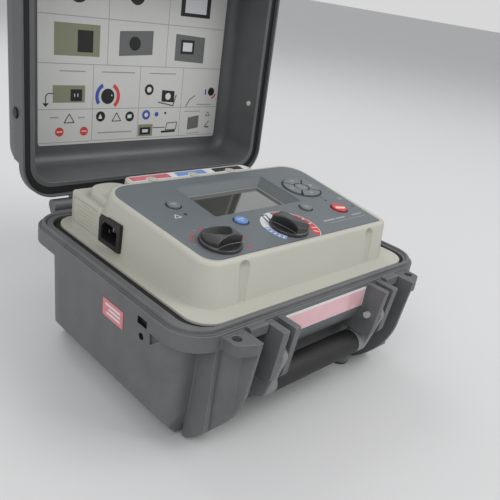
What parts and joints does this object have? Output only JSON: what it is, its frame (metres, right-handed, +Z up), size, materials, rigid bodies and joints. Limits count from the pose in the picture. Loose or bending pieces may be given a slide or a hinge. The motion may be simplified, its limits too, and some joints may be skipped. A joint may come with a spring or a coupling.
{
  "type": "insulation resistance tester",
  "caption": "Portable high-voltage insulation resistance tester in a rugged hinged case with a tilted control panel, display, rotary selectors, keys and shrouded test sockets.",
  "frame": {"origin": "on the resting plane of the rubber feet, below the middle of the bounding box at rest (lid open); the middle of the case rim lies 29.6 mm in front of it", "axes": "+Z up, -Y towards the operator (handle side), +X to the operator's right, hinge at +Y"},
  "size_m": [0.3165, 0.3562, 0.4337],
  "materials": {
    "case_black": "coarse satin moulded",
    "panel_beige": "fine grained",
    "overlay_slate": "matt film",
    "rubber_black": "matt",
    "knob_black": "satin",
    "arm_grey": "satin",
    "steel": "bright",
    "brass": "bright",
    "window_glass": "glossy",
    "card_white": "matt printed",
    "label_red": "glossy printed",
    "label_pale": "satin printed",
    "red_plastic": "satin",
    "blue_plastic": "satin",
    "black_plastic": "satin",
    "button_blue": "satin",
    "button_grey": "satin",
    "button_amber": "satin",
    "board_green": "solder resist",
    "component_dark": "satin",
    "capacitor_blue": "sleeve",
    "resin_grey": "potting",
    "cell_wrap": "shrink wrap",
    "led_clear": "clear",
    "glass_tube": "clear",
    "valve_black": "satin"
  },
  "bodies": {
    "base": {"base_shell": "case_black", "base_feet": "rubber_black", "front_label": "label_red", "side_label": "label_pale", "handle_pins": "steel", "hinge_pins": "steel", "panel_gasket": "rubber_black", "panel_housing": "panel_beige", "panel_overlay": "overlay_slate", "case_screws": "steel", "display_window": "window_glass", "lcd_module": "component_dark", "mains_inlet": "black_plastic", "inlet_pins": "brass", "rating_plate": "label_pale", "terminal_label": "label_pale", "terminal_red": "red_plastic", "terminal_blue": "blue_plastic", "terminal_black": "black_plastic", "terminal_contacts": "brass", "main_board": "board_green", "power_board": "board_green", "board_legs": "arm_grey", "mains_transformer": "component_dark", "power_capacitors": "capacitor_blue", "high_voltage_module": "resin_grey", "battery_pack": "cell_wrap", "battery_strap": "steel", "keypad_board": "board_green", "tact_switches": "component_dark", "status_leds": "led_clear", "rotary_switches": "component_dark", "board_standoffs": "brass", "board_screws": "steel", "mains_fuse": "glass_tube", "fuse_clips": "brass"},
    "lid": {"lid_shell": "case_black", "lid_gasket": "rubber_black", "lid_card": "card_white", "valve_body": "valve_black", "valve_cap": "valve_black", "latch_pins": "steel", "lid_rivet": "steel"},
    "latch_left": {"latch_left": "case_black"},
    "latch_right": {"latch_right": "case_black"},
    "handle": {"handle_frame": "arm_grey", "handle_grip": "rubber_black"},
    "knob_left": {"knob_left": "knob_black", "knob_left_shaft": "steel"},
    "knob_centre": {"knob_centre": "knob_black", "knob_centre_shaft": "steel"},
    "button_backlight": {"button_backlight": "button_amber"},
    "button_mode": {"button_mode": "button_blue"},
    "button_set": {"button_set": "button_grey"},
    "button_test": {"button_test": "red_plastic"},
    "arrow_right": {"arrow_right": "button_grey"},
    "arrow_up": {"arrow_up": "button_grey"},
    "arrow_left": {"arrow_left": "button_grey"},
    "arrow_down": {"arrow_down": "button_grey"},
    "arrow_enter": {"arrow_enter": "button_grey"}
  },
  "joints": [
    {"name": "lid_hinge", "type": "hinge", "parent": "base", "child": "lid", "pos_m": [0, 0.1074, 0.12], "axis": [1, 0, 0], "range_deg": [0, 92]},
    {"name": "latch_left_pivot", "type": "hinge", "parent": "lid", "child": "latch_left", "pos_m": [-0.0915, 0.13395, 0.39324], "axis": [1, 0, 0], "range_deg": [0, 95]},
    {"name": "latch_right_pivot", "type": "hinge", "parent": "lid", "child": "latch_right", "pos_m": [0.0915, 0.13395, 0.39324], "axis": [1, 0, 0], "range_deg": [0, 95]},
    {"name": "handle_pivot", "type": "hinge", "parent": "base", "child": "handle", "pos_m": [0, -0.1641, 0.0835], "axis": [-1, 0, 0], "range_deg": [0, 108]},
    {"name": "knob_left_turn", "type": "hinge", "parent": "base", "child": "knob_left", "pos_m": [-0.0853, -0.09817, 0.15778], "axis": [0, -0.1056, 0.9944], "range_deg": [-90, 90]},
    {"name": "knob_centre_turn", "type": "hinge", "parent": "base", "child": "knob_centre", "pos_m": [-0.0023, -0.09817, 0.15778], "axis": [0, -0.1056, 0.9944], "range_deg": [-150, 120]},
    {"name": "button_backlight_press", "type": "slide", "parent": "base", "child": "button_backlight", "axis": [0, 0.1056, -0.9944], "range_m": [0, 0.001], "stiffness_N_per_m": 600, "springref_m": -0.001},
    {"name": "button_mode_press", "type": "slide", "parent": "base", "child": "button_mode", "axis": [0, 0.1056, -0.9944], "range_m": [0, 0.001], "stiffness_N_per_m": 600, "springref_m": -0.001},
    {"name": "button_set_press", "type": "slide", "parent": "base", "child": "button_set", "axis": [0, 0.1056, -0.9944], "range_m": [0, 0.001], "stiffness_N_per_m": 600, "springref_m": -0.001},
    {"name": "button_test_press", "type": "slide", "parent": "base", "child": "button_test", "axis": [0, 0.1056, -0.9944], "range_m": [0, 0.001], "stiffness_N_per_m": 600, "springref_m": -0.001},
    {"name": "arrow_right_press", "type": "slide", "parent": "base", "child": "arrow_right", "axis": [0, 0.1056, -0.9944], "range_m": [0, 0.001], "stiffness_N_per_m": 600, "springref_m": -0.001},
    {"name": "arrow_up_press", "type": "slide", "parent": "base", "child": "arrow_up", "axis": [0, 0.1056, -0.9944], "range_m": [0, 0.001], "stiffness_N_per_m": 600, "springref_m": -0.001},
    {"name": "arrow_left_press", "type": "slide", "parent": "base", "child": "arrow_left", "axis": [0, 0.1056, -0.9944], "range_m": [0, 0.001], "stiffness_N_per_m": 600, "springref_m": -0.001},
    {"name": "arrow_down_press", "type": "slide", "parent": "base", "child": "arrow_down", "axis": [0, 0.1056, -0.9944], "range_m": [0, 0.001], "stiffness_N_per_m": 600, "springref_m": -0.001},
    {"name": "arrow_enter_press", "type": "slide", "parent": "base", "child": "arrow_enter", "axis": [0, 0.1056, -0.9944], "range_m": [0, 0.001], "stiffness_N_per_m": 600, "springref_m": -0.001}
  ]
}
